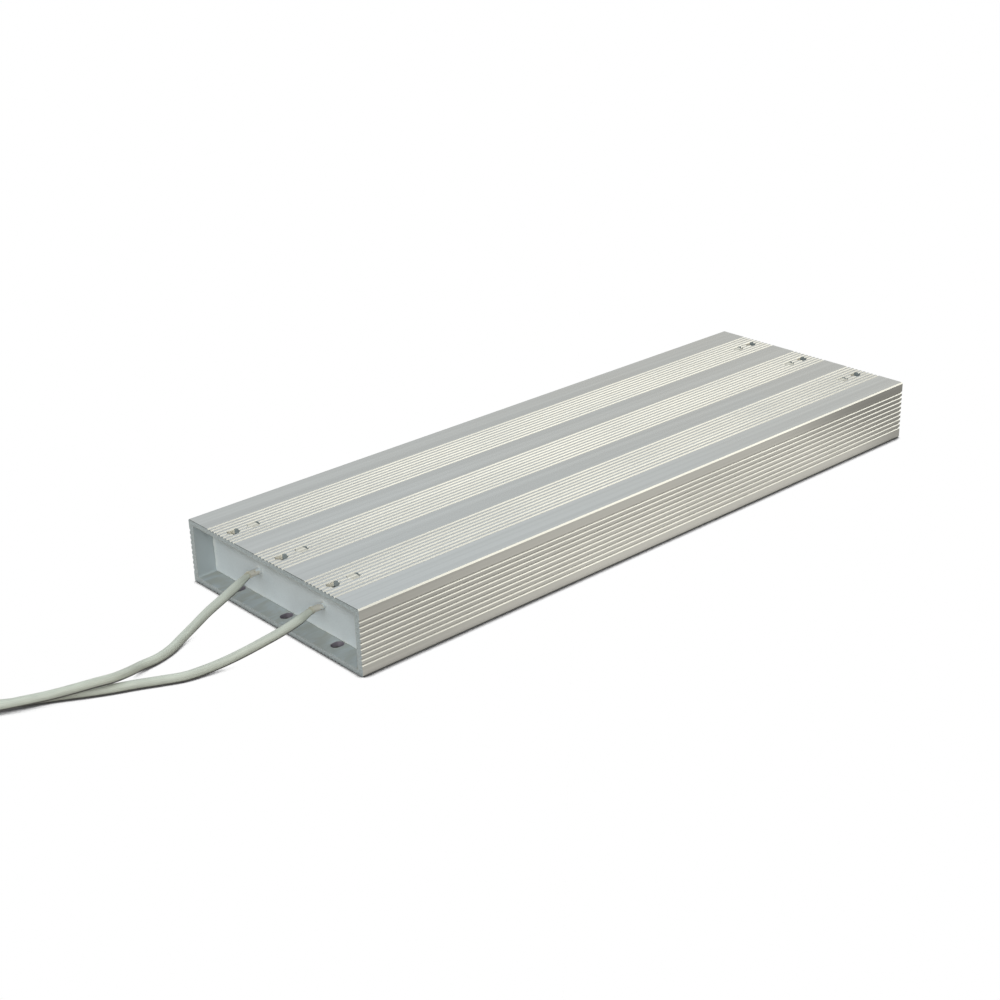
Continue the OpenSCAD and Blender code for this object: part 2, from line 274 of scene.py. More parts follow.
class StageSettings(bpy.types.PropertyGroup):
    """Camera and light."""

    azimuth: FloatProperty(
        name="Azimuth", description="Turn of the camera round the housing, from in front of its long side",
        default=math.radians(-41.475), subtype="ANGLE")
    elevation: FloatProperty(
        name="Elevation", description="Height of the camera over the table",
        default=math.radians(24.051), subtype="ANGLE")
    roll: FloatProperty(
        name="Roll", description="Tilt of the picture", default=math.radians(-1.682), subtype="ANGLE")
    distance: FloatProperty(
        name="Distance", description="From the camera to the middle of the underside",
        default=0.81954, unit="LENGTH")
    across: FloatProperty(
        name="Across", description="Shift of the camera to its right", default=-0.035745, unit="LENGTH")
    above: FloatProperty(
        name="Above", description="Shift of the camera upwards", default=0.001519, unit="LENGTH")
    lens: FloatProperty(
        name="Lens", description="Focal length for a picture 36 mm wide", default=61.733, unit="CAMERA")
    key_power: FloatProperty(
        name="Key light", description="Power of the large soft lamp", default=4.4, unit="POWER")
    fill_power: FloatProperty(
        name="Fill light", description="Power of the soft lamp at the lead end", default=11.0, unit="POWER")
    tube_power: FloatProperty(
        name="Tube light", description="Power of the long thin lamp at the lead end, for the lip's shadow",
        default=7.0, unit="POWER")
    horizon: FloatVectorProperty(
        name="Horizon", description="Light of the room's walls at eye level",
        default=linear("#BCAD97"), subtype="COLOR", min=0, max=1)
    cove: FloatVectorProperty(
        name="Cove", description="Light of the room's walls under the ceiling",
        default=linear("#F0F8FF"), subtype="COLOR", min=0, max=1)
    zenith: FloatVectorProperty(
        name="Zenith", description="Light of the room overhead",
        default=linear("#B8C2C8"), subtype="COLOR", min=0, max=1)
    table: FloatVectorProperty(
        name="Table", description="Table as the metal reflects it",
        default=linear("#F4EEE4"), subtype="COLOR", min=0, max=1)


# Helpers

def set_inputs(node, inputs):
    """Sets or links a node's inputs, by name in a dictionary or by place among those in use.

    A value is a number, a row of numbers, a colour code, a socket, a node, which stands for its first output
    in use, or a list of nodes that share one socket. From and To each give both ends of a range.
    """
    used = [socket for socket in node.inputs if socket.enabled]
    for key, value in inputs.items() if isinstance(inputs, dict) else enumerate(inputs):
        if key in ("From", "To"):
            set_inputs(node, {key + " Min": value[0], key + " Max": value[1]})
            continue
        socket = used[key] if isinstance(key, int) else next(each for each in used if each.name == key)
        for source in value if isinstance(value, list) else [value]:
            if isinstance(source, bpy.types.Node):
                source = next(each for each in source.outputs if each.enabled)
            if isinstance(source, bpy.types.NodeSocket):
                node.id_data.links.new(source, socket)
            elif socket.type == "RGBA":
                socket.default_value = (*(linear(source) if isinstance(source, str) else source), 1)
            else:
                socket.default_value = source


def add_node(tree, kind, inputs=(), **settings):
    """Adds a node to a tree with its settings and inputs. An input given alone is the first one."""
    node = tree.nodes.new(kind)
    for name, value in settings.items():
        setattr(node, name, value)
    set_inputs(node, inputs if isinstance(inputs, (dict, tuple)) else (inputs,))
    return node


def new_tree(name, **titles):
    """Starts a Geometry Nodes tree with named inputs of each kind, and gives it, its add and its inputs."""
    tree = bpy.data.node_groups.new(name, "GeometryNodeTree")
    for kind, row in titles.items():
        for title in row:
            tree.interface.new_socket(name=title, in_out="INPUT", socket_type="NodeSocket" + kind)
    tree.interface.new_socket(name="Geometry", in_out="OUTPUT", socket_type="NodeSocketGeometry")
    return tree, partial(add_node, tree), tree.nodes.new("NodeGroupInput").outputs


def close_tree(add, geometry, material):
    """Ends a tree: instances become geometry, the material is set and the result leaves."""
    finished = add("GeometryNodeSetMaterial", {"Geometry": add(REALIZE, geometry), "Material": material})
    add("NodeGroupOutput", finished)


def centred_row(add, count, pitch, axis):
    """Adds a row of places along an axis, with its middle at the origin."""
    gaps = add(MATH, (count, 1), operation="SUBTRACT")
    run = add(MATH, (gaps, pitch), operation="MULTIPLY")
    first = add(MATH, (run, -0.5), operation="MULTIPLY")
    return add(MESH_LINE, {
        "Count": count, "Start Location": add(COMBINE, {axis: first}), "Offset": add(COMBINE, {axis: pitch})})


def piece_from_tree(name, tree, values, base=None):
    """Runs a tree on an empty mesh or on a given object, and gives its result as a plain mesh piece."""
    carrier = base or bpy.data.objects.new(name + "_carrier", bpy.data.meshes.new(name + "_carrier"))
    if base is None:
        bpy.context.scene.collection.objects.link(carrier)
    modifier = carrier.modifiers.new(tree.name, "NODES")
    modifier.node_group = tree
    for item in tree.interface.items_tree:
        if item.in_out == "INPUT" and item.name in values:
            modifier[item.identifier] = values[item.name]
    result = carrier.evaluated_get(bpy.context.evaluated_depsgraph_get())
    mesh = bpy.data.meshes.new_from_object(result)
    mesh.name = name
    carrier.modifiers.remove(modifier)
    bpy.data.objects.remove(carrier)
    if not mesh.polygons:
        raise RuntimeError("The tree " + tree.name + " gave no faces for " + name)
    piece = bpy.data.objects.new(name, mesh)
    bpy.context.scene.collection.objects.link(piece)
    return piece


def applied(piece):
    """Takes a piece's modifiers into its mesh and removes them."""
    mesh = bpy.data.meshes.new_from_object(piece.evaluated_get(bpy.context.evaluated_depsgraph_get()))
    piece.modifiers.clear()
    old = piece.data
    piece.data = mesh
    mesh.name = piece.name
    bpy.data.meshes.remove(old)


def shade(piece, angle):
    """Shades a piece smooth, apart from the edges that are sharper than an angle."""
    piece.data.shade_smooth()
    piece.data.set_sharp_from_angle(angle=angle)


def coat(mesh, material):
    """Gives a mesh one material."""
    mesh.materials.clear()
    mesh.materials.append(material)


def mesh_points(mesh):
    """Gives the places of a mesh's vertices, one in a row."""
    points = np.empty(len(mesh.vertices) * 3)
    mesh.vertices.foreach_get("co", points)
    return points.reshape(-1, 3)


def fade(distance, reach):
    """Falls from one at a wall to nothing a few reaches away."""
    return np.exp(-np.clip(distance, 0, None) / reach)


def join_root(piece, slot, *nodes):
    """Rides a piece on the housing's body and hides the nodes that it stands for. The slot is not used."""
    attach(piece, ROOT)
    if nodes:
        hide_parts(*nodes)


def new_material(name):
    """Starts a material, and gives it with its add, its shader and its Object coordinates."""
    material = bpy.data.materials.new(name)
    material.use_nodes = True
    add = partial(add_node, material.node_tree)
    shader = material.node_tree.nodes["Principled BSDF"]
    return material, add, shader, add(COORDINATES).outputs["Object"]


def smooth_path(route):
    """Gives the points of one smooth curve through a route, in metres."""
    points = [Vector((SLEEVE_START + x * MM, y * MM, z * MM)) for x, y, z in route]
    points = [points[0] + (points[0] - points[1])] + points + [points[-1] + ROUTE_END]
    curve = []
    for before, start, end, after in zip(points, points[1:], points[2:], points[3:]):
        leaving = (end - before) / 2
        arriving = (after - start) / 2
        for step in range(ROUTE_STEPS):
            t = step / ROUTE_STEPS
            curve.append(
                start * (2 * t ** 3 - 3 * t ** 2 + 1) + leaving * (t ** 3 - 2 * t ** 2 + t)
                + end * (3 * t ** 2 - 2 * t ** 3) + arriving * (t ** 3 - t ** 2))
    curve.append(points[-2])
    return curve


# Materials

def anodised_aluminium(finish):
    """Extruded aluminium, satin anodised: soft reflections drawn into fine lines along the housing."""
    material, add, shader, place = new_material("anodised_aluminium")
    drawn, tinted, patches, sawn, smear = (
        add(NOISE, {"Vector": add(MAPPING, {"Vector": place, "Scale": scale}), "Scale": 1, "Detail": detail})
        for scale, detail in (
            # Die lines about 0.4 mm wide run the whole length, so the pattern is stretched along X
            ((4, 2400, 2400), 3),
            # Broad streaks of the die, 2 to 3 mm wide, tint the flats along the whole length
            ((2.5, 420, 420), 3),
            # Handling marks some 30 mm long dull the skin in patches
            ((18, 45, 45), 5),
            # Saw marks on the cut ends are about 0.6 mm apart and broken up
            ((200, 900, 1600), 2),
            # The smears that the pour leaves in the recess are 3 to 5 mm wide and drawn out along X
            ((90, 260, 260), 5),
        ))
    set_inputs(smear, {"Roughness": 0.55, "Distortion": 0.4})
    normal = add(SPLIT, add(GEOMETRY).outputs["True Normal"]).outputs
    facing, sidewise, steep = (add(MATH, axis, operation="ABSOLUTE") for axis in normal)
    at = add(SPLIT, place).outputs
    raised = add(MATH, (at[2], HALF_HEIGHT), operation="SUBTRACT")
    back, aside, level = (add(MATH, value, operation="ABSOLUTE") for value in (at[0], at[1], raised))
    # Cut ends face along X
    end = add(RANGE, {"Value": facing, "From": (0.6, 0.9)}, **SMOOTH)
    slack = 0.1 * MM
    side_wall = 2 * MM
    masks = []
    for tests in (
            # The hollow's walls are the only ones that lie inside its box
            ((aside, "LESS_THAN", HOLLOW_HIGH[1] + 2 * slack), (level, "LESS_THAN", HALF_HOLLOW + 2 * slack)),
            # The slots' walls are the only upright ones in the thickness of the top and the underside
            ((steep, "LESS_THAN", 0.4), (aside, "LESS_THAN", HOUSING_HIGH[1] - side_wall),
             (back, "LESS_THAN", HOUSING_HIGH[0] - slack), (level, "GREATER_THAN", HALF_HOLLOW - slack))):
        mask = None
        for value, test, limit in tests:
            held = add(MATH, (value, limit), operation=test)
            mask = held if mask is None else add(MATH, (mask, held), operation="MULTIPLY")
        masks.append(mask)
    inside, torn = masks
    # Skin in streaks, then cut ends, painted darker in a band 0.7 mm wide along their upper edge: painted
    # shade
    streak, saw_tone, satin = (
        add(RANGE, {"Value": pattern, "From": NOISE_SPAN, "To": span})
        for pattern, span in ((tinted, (0.925, 1.065)), (sawn, (0.76, 1.12)), (patches, (0.26, 0.33))))
    skin = add(VECTOR, (finish.aluminium, streak), operation="SCALE")
    painted_edge_shade = add(RANGE, {
        "Value": raised, "From": (HALF_HEIGHT - 0.7 * MM, HALF_HEIGHT), "To": (1, 0.45)}, **SMOOTH)
    edge_shaded_tone = add(MATH, (saw_tone, painted_edge_shade), operation="MULTIPLY")
    cut = add(VECTOR, (finish.sawn_aluminium, edge_shaded_tone), operation="SCALE")
    outer = add(MIX, (end, skin, cut), data_type="RGBA")
    # The stained inside has pale and brownish smears, and its side walls, which face across the housing, are
    # painted paler
    smeared = add(RANGE, {"Value": smear, "From": (0.35, 0.7)}, **SMOOTH)
    browned = add(MIX, (patches, finish.dull_aluminium, "#A8A597"), data_type="RGBA")
    dull = add(MIX, (smeared, browned, "#B6BEC0"), data_type="RGBA")
    paler_side_walls = add(MIX, (sidewise, dull, "#B7C0C3"), data_type="RGBA")
    colour = add(MIX, (inside, outer, paler_side_walls), data_type="RGBA")
    # The punched walls are painted: painted light, bright, on the long walls of the upper slots, and painted
    # shade, dark, on the ends of the upper slots and on all walls of the lower ones
    upper = add(MATH, (raised, 0), operation="GREATER_THAN")
    lengthwise = add(MATH, (facing, 0.5), operation="LESS_THAN")
    painted_lit_walls = add(MATH, (upper, lengthwise), operation="MULTIPLY")
    painted_shaded_walls = add(MIX, (upper, "#8E8892", "#8C9597"), data_type="RGBA")
    wall = add(MIX, (painted_lit_walls, painted_shaded_walls, "#EEE8D8"), data_type="RGBA")
    finished = add(MIX, (torn, colour, wall), data_type="RGBA")
    # A film of cement dulls the metal inside, and the punched walls are rough
    film = add(MATH, (inside, torn), operation="MAXIMUM")
    bare = add(RANGE, {"Value": film, "To": (1, 0.35)})
    # The skin is satin, duller in the patches, on the cuts and inside
    blunt = add(MATH, (end, film), operation="MAXIMUM")
    rough = add(MIX, (blunt, satin, 0.55), data_type="FLOAT")
    relief = add(MIX, (end, drawn, sawn), data_type="FLOAT")
    bump = add(BUMP, {"Strength": 0.25, "Distance": 0.02 * MM, "Height": relief})
    set_inputs(shader, {"Base Color": finished, "Metallic": bare, "Roughness": rough, "Normal": bump})
    return material


def cast_cement(finish):
    """Cement poured wet and set: a matt pale grey with a mealy grain and whiter rims where it dried."""
    material, add, shader, place = new_material("cast_cement")
    # Clouds about 12 mm across and a grain of 0.6 mm
    cloud = add(NOISE, {"Vector": place, "Scale": 85, "Detail": 5})
    grain = add(NOISE, {"Vector": place, "Scale": 1600, "Detail": 3})
    tone = add(RANGE, {"Value": cloud, "From": NOISE_SPAN, "To": (0.96, 1.03)})
    speck = add(RANGE, {"Value": grain, "From": NOISE_SPAN, "To": (0.97, 1.03)})
    both = add(MATH, (tone, speck), operation="MULTIPLY")
    body = add(VECTOR, (finish.cement, both), operation="SCALE")
    rim, wiped, grooved = (
        add("ShaderNodeAttribute", attribute_name=name).outputs["Fac"]
        for name in ("creep", "wiped", "grooved"))
    dried = add(MIX, (rim, body, "#DDE1DE"), data_type="RGBA")
    # The cement in the upper slots is painted to carry on the metal bands round it: warm grey on its ridges,
    # with pale painted highlight lines in its grooves
    painted_plug_lines = add(MIX, (grooved, "#B7B5AC", "#F0ECDE"), data_type="RGBA")
    with_painted_plugs = add(MIX, (wiped, dried, painted_plug_lines), data_type="RGBA")
    bump = add(BUMP, {"Strength": 0.3, "Distance": 0.1 * MM, "Height": grain})
    set_inputs(shader, {"Base Color": with_painted_plugs, "Roughness": 0.88, "IOR": 1.5, "Normal": bump})
    return material


def varnished_glass_braid(finish):
    """Glass-fibre braid under silicone varnish: cream, half matt, with the crossing yarns just showing."""
    material, add, shader, place = new_material("varnished_glass_braid")
    # The tube's own map runs once round in U and by the same length in V. Twelve yarns each way make the real
    # braid; the crossings are drawn that coarse, at about 1 mm, so that they show
    yarns = 12
    sheet = add("ShaderNodeUVMap", uv_map="braid")
    track = add(SPLIT, sheet).outputs
    crests = []
    for course in ("ADD", "SUBTRACT"):
        slant = add(MATH, (track[0], track[1]), operation=course)
        angle = add(MATH, (slant, yarns * math.pi), operation="MULTIPLY")
        crests.append(add(MATH, angle, operation="SINE"))
    cross = add(MATH, tuple(crests), operation="MULTIPLY")
    knot = add(MATH, cross, operation="ABSOLUTE")
    # Varnish pools and handling give slow patches about 6 mm long, under a fine lint
    pool = add(NOISE, {"Vector": place, "Scale": 160, "Detail": 4})
    lint = add(NOISE, {"Vector": place, "Scale": 2200, "Detail": 2})
    # Yarns that took more or less varnish show as streaks along the lead, some 0.6 mm wide
    drawn_out = add(MAPPING, {"Vector": sheet, "Scale": (22, 0.9, 1)})
    streaks = add(NOISE, {"Vector": drawn_out, "Scale": 1, "Detail": 3})
    # Painted shade of the weave: the creases between the yarns are painted darker and the crests lighter
    lit = add(RANGE, {"Value": knot, "To": (0.93, 1.02)})
    patch, streak, gloss = (
        add(RANGE, {"Value": pattern, "From": NOISE_SPAN, "To": span})
        for pattern, span in ((pool, (0.94, 1.04)), (streaks, (0.88, 1.08)), (pool, (0.42, 0.6))))
    mottle = add(MATH, (lit, patch), operation="MULTIPLY")
    tone = add(MATH, (mottle, streak), operation="MULTIPLY")
    cloth = add(VECTOR, (finish.sleeve, tone), operation="SCALE")
    # The first 8 mm of the sleeve, from its cut, are scorched and glued in spots of about 1 mm
    along = add(SPLIT, place).outputs[0]
    tip = add(RANGE, {"Value": along, "From": (SLEEVE_START - 8 * MM, SLEEVE_START), "To": (-0.25, 0.2)})
    scorch = add(NOISE, {"Vector": place, "Scale": 600, "Detail": 3})
    spot = add(MATH, (scorch, tip), operation="ADD")
    burnt = add(RANGE, {"Value": spot, "From": (0.55, 0.75), "To Max": 0.5}, **SMOOTH)
    aged = add(MIX, (burnt, cloth, "#A99878"), data_type="RGBA")
    # Painted shade: the underside is painted darker, down to 8 % of the colour where it faces most steeply
    # down
    facing = add(SPLIT, add(GEOMETRY).outputs["Normal"]).outputs[2]
    underside_shade_factor = add(RANGE, {"Value": facing, "From": (-0.45, -0.2), "To": (0.08, 1)}, **SMOOTH)
    painted_underside_shade = add(VECTOR, (aged, underside_shade_factor), operation="SCALE")
    height = add(MATH, (lint, 0.15, knot), operation="MULTIPLY_ADD")
    bump = add(BUMP, {"Strength": 0.3, "Distance": 0.1 * MM, "Height": height})
    set_inputs(shader, {
        "Base Color": painted_underside_shade, "Roughness": gloss, "IOR": 1.48, "Sheen Weight": 0.15, "Normal": bump})
    return material


def stained_rubber(finish):
    """Silicone rubber of the inner wires: grey, matt, with brown spots of heat and smears of cement."""
    material, add, shader, place = new_material("stained_rubber")
    # Brown spots and pale smears are about 2 mm across
    blot = add(NOISE, {"Vector": place, "Scale": 420, "Detail": 5})
    brown = add(RANGE, {"Value": blot, "From": (0.55, 0.7)}, **SMOOTH)
    aged = add(MIX, (brown, finish.insulation, "#8C7553"), data_type="RGBA")
    smear = add(NOISE, {"Vector": place, "Scale": 300, "Detail": 4, "Distortion": 0.8})
    along = add(SPLIT, place).outputs[0]
    near = add(RANGE, {"Value": along, "From": (SLEEVE_START, FRONT_SEAL_LOW[0]), "To": (-0.2, 0.08)})
    reach = add(MATH, (smear, near), operation="ADD")
    chalk = add(RANGE, {"Value": reach, "From": (0.48, 0.6)}, **SMOOTH)
    colour = add(MIX, (chalk, aged, finish.cement), data_type="RGBA")
    bump = add(BUMP, {"Strength": 0.4, "Distance": 0.1 * MM, "Height": chalk})
    set_inputs(shader, {"Base Color": colour, "Roughness": 0.62, "IOR": 1.41, "Normal": bump})
    return material


def plain_finish(name, tones, scale, metallic, roughness, depth):
    """Finish of a small or hidden piece: two tones of one material in a grain, with a matching relief."""
    material, add, shader, place = new_material(name)
    wear = 0.08
    grain = add(NOISE, {"Vector": place, "Scale": scale, "Detail": 4})
    spread = add(RANGE, {"Value": grain, "From": (0.35, 0.65)})
    colour = add(MIX, (spread, *tones), data_type="RGBA")
    worn = add(RANGE, {"Value": grain, "To": (roughness - wear, roughness + wear)})
    bump = add(BUMP, {"Strength": 0.4, "Distance": depth, "Height": grain})
    set_inputs(shader, {"Base Color": colour, "Metallic": metallic, "Roughness": worn, "Normal": bump})
    return material


# Housing

def grooved_edge_tree():
    """One edge of the section, along X: bands of grooves, cut towards -Y, between two square corners."""
    tree, add, sizes = new_tree(
        "grooved_edge", Float=("Edge", "Spacing", "Pitch", "Mouth", "Floor", "Depth"),
        Int=("Bands", "Grooves"))
    groove = add(QUADRILATERAL, {
        "Height": sizes["Depth"], "Bottom Width": sizes["Floor"], "Top Width": sizes["Mouth"], "Offset": 0,
    }, mode="TRAPEZOID")
    drop = add(MATH, (sizes["Depth"], -0.5), operation="MULTIPLY")
    sunk = add(TRANSFORM, {"Geometry": groove, "Translation": add(COMBINE, {"Y": drop})})
    corners = add(CURVE_TO_MESH, sunk)
    for count, pitch in (("Grooves", "Pitch"), ("Bands", "Spacing")):
        row = centred_row(add, sizes[count], sizes[pitch], "X")
        corners = add(REALIZE, add(INSTANCE, {"Points": row, "Instance": corners}))
    ends = centred_row(add, 2, sizes["Edge"], "X")
    dots = add("GeometryNodeMeshToPoints", add(JOIN, [corners, ends]))
    across = add(SPLIT, add(POSITION)).outputs[0]
    line = add("GeometryNodePointsToCurves", {"Points": dots, "Weight": across})
    add("NodeGroupOutput", add(CURVE_TO_MESH, line))
    return tree


def extrusion_tree():
    """The housing: its grooved section with rounded lips, drawn out along X, and its punched slots."""
    tree, add, sizes = new_tree(
        "grooved_extrusion",
        Float=("Length", "Width", "Height", "Hollow Width", "Hollow Height", "Corner Break", "Hollow Radius",
               "Lip Radius", "Band Spacing", "Pitch", "Mouth", "Floor", "Depth", "Slot Width", "Slot Length",
               "Slot Place", "Anchor Place"),
        Int=("Bands", "Band Grooves", "Side Grooves"), Material=("Material",))
    edge_tree = grooved_edge_tree()
    half_width, half_height = (
        add(MATH, (sizes[name], 0.5), operation="MULTIPLY") for name in ("Width", "Height"))
    edges = []
    for edge, bands, grooves, reach, axis, turns in (
            ("Width", sizes["Bands"], "Band Grooves", half_height, "Y", (0, math.pi)),
            ("Height", 1, "Side Grooves", half_width, "X", (-math.pi / 2, math.pi / 2))):
        strip = add("GeometryNodeGroup", {
            "Edge": sizes[edge], "Bands": bands, "Spacing": sizes["Band Spacing"], "Grooves": sizes[grooves],
            **{name: sizes[name] for name in ("Pitch", "Mouth", "Floor", "Depth")}}, node_tree=edge_tree)
        for turn, sign in zip(turns, (1, -1)):
            out = add(MATH, (reach, sign), operation="MULTIPLY")
            edges.append(add(TRANSFORM, {
                "Geometry": strip, "Translation": add(COMBINE, {axis: out}), "Rotation": (0, 0, turn)}))
    loop = add("GeometryNodeMeshToCurve", add(MERGE, {"Geometry": add(JOIN, edges), "Distance": WELD}))
    # The lips of the grooves are rounded, and the four corners of the section are broken by a flat slant
    at = add(SPLIT, add(POSITION)).outputs
    near = []
    for place, reach in ((at[0], half_width), (at[1], half_height)):
        far = add(MATH, place, operation="ABSOLUTE")
        near.append(add(MATH, (far, reach, 0.01 * MM), operation="COMPARE"))
    corner = add(MATH, tuple(near), operation="MULTIPLY")
    radius = add(MIX, (corner, sizes["Lip Radius"], sizes["Corner Break"]), data_type="FLOAT")
    facets = add(MIX, (corner, 3, 1), data_type="FLOAT")
    outer = add(FILLET, {"Curve": loop, "Radius": radius, "Count": facets, "Limit Radius": True}, mode="POLY")
    box = add(QUADRILATERAL, {"Width": sizes["Hollow Width"], "Height": sizes["Hollow Height"]})
    hollow = add(FILLET, {"Curve": box, "Radius": sizes["Hollow Radius"], "Count": 8}, mode="POLY")
    # The slots' ends are round, just short of a half circle, and the punches reach well past the housing
    slot_box = add(QUADRILATERAL, {"Width": sizes["Slot Length"], "Height": sizes["Slot Width"]})
    slot_end = add(MATH, (sizes["Slot Width"], 0.4999), operation="MULTIPLY")
    slot = add(FILLET, {"Curve": slot_box, "Radius": slot_end, "Count": 10}, mode="POLY")
    punch_length = add(MATH, (sizes["Height"], 1.4), operation="MULTIPLY")
    solids = []
    for curves, length in ((add(JOIN, [outer, hollow]), sizes["Length"]), (slot, punch_length)):
        flat = add("GeometryNodeFillCurve", curves, mode="TRIANGLES")
        drawn = add("GeometryNodeExtrudeMesh", {
            "Mesh": flat, "Offset": (0, 0, 1), "Offset Scale": length, "Individual": False})
        shell = add(JOIN, [drawn, add("GeometryNodeFlipFaces", flat)])
        solid = add(MERGE, {"Geometry": shell, "Distance": WELD})
        middle = add(MATH, (length, -0.5), operation="MULTIPLY")
        solids.append(add(TRANSFORM, {"Geometry": solid, "Translation": add(COMBINE, {"Z": middle})}))
    tube, punch = solids
    turned = add(TRANSFORM, {"Geometry": tube, "Rotation": (math.pi / 2, 0, math.pi / 2)})
    # Two slots a band at each end: an open one, and one that the cement fills
    pair = add(MESH_LINE, {
        "Count": 2, "Start Location": add(COMBINE, {"X": sizes["Slot Place"]}),
        "Offset": add(COMBINE, {"X": sizes["Anchor Place"]})}, mode="END_POINTS")
    mirrored = add(TRANSFORM, {"Geometry": pair, "Rotation": (0, 0, math.pi)})
    row = centred_row(add, sizes["Bands"], sizes["Band Spacing"], "Y")
    spots = add(REALIZE, add(INSTANCE, {"Points": row, "Instance": add(JOIN, [pair, mirrored])}))
    tools = add(REALIZE, add(INSTANCE, {"Points": spots, "Instance": punch}))
    punched = add(
        "GeometryNodeMeshBoolean", {"Mesh 1": turned, "Mesh 2": tools},
        operation="DIFFERENCE", solver="EXACT")
    standing = add(TRANSFORM, {"Geometry": punched, "Translation": add(COMBINE, {"Z": half_height})})
    close_tree(add, standing, sizes["Material"])
    return tree


class RESISTOR_OT_housing(bpy.types.Operator):
    """Draw the grooved aluminium housing and punch its slots"""

    bl_idname = "resistor.housing"
    bl_label = "Housing"

    def execute(self, context):
        sizes = context.scene.resistor_housing
        shell = piece_from_tree("grooved_housing", extrusion_tree(), {
            "Length": HOUSING_HIGH[0] - HOUSING_LOW[0],
            "Width": HOUSING_HIGH[1] - HOUSING_LOW[1],
            "Height": HOUSING_HIGH[2] - HOUSING_LOW[2],
            "Hollow Width": HOLLOW_HIGH[1] - HOLLOW_LOW[1],
            "Hollow Height": HOLLOW_HIGH[2] - HOLLOW_LOW[2],
            "Corner Break": sizes.corner_break,
            "Hollow Radius": sizes.hollow_radius,
            "Lip Radius": sizes.lip_radius,
            "Bands": sizes.bands,
            "Band Spacing": sizes.band_spacing,
            "Band Grooves": sizes.band_grooves,
            "Side Grooves": sizes.side_grooves,
            "Pitch": sizes.groove_pitch,
            "Mouth": sizes.groove_mouth,
            "Floor": sizes.groove_floor,
            "Depth": sizes.groove_depth,
            "Slot Width": sizes.slot_width,
            "Slot Length": sizes.slot_length,
            "Slot Place": HOUSING_HIGH[0] - sizes.slot_inset,
            "Anchor Place": (REAR_SEAL_LOW[0] + REAR_SEAL_HIGH[0]) / 2,
            "Material": anodised_aluminium(context.scene.resistor_finish),
        })
        # Flats stay flat beside the rounded lips
        shade(shell, EXTRUSION_ANGLE)
        even = shell.modifiers.new("even_normals", "WEIGHTED_NORMAL")
        even.keep_sharp = True
        applied(shell)
        join_root(shell, "housing_aluminium", "housing")
        return {"FINISHED"}


# Seals

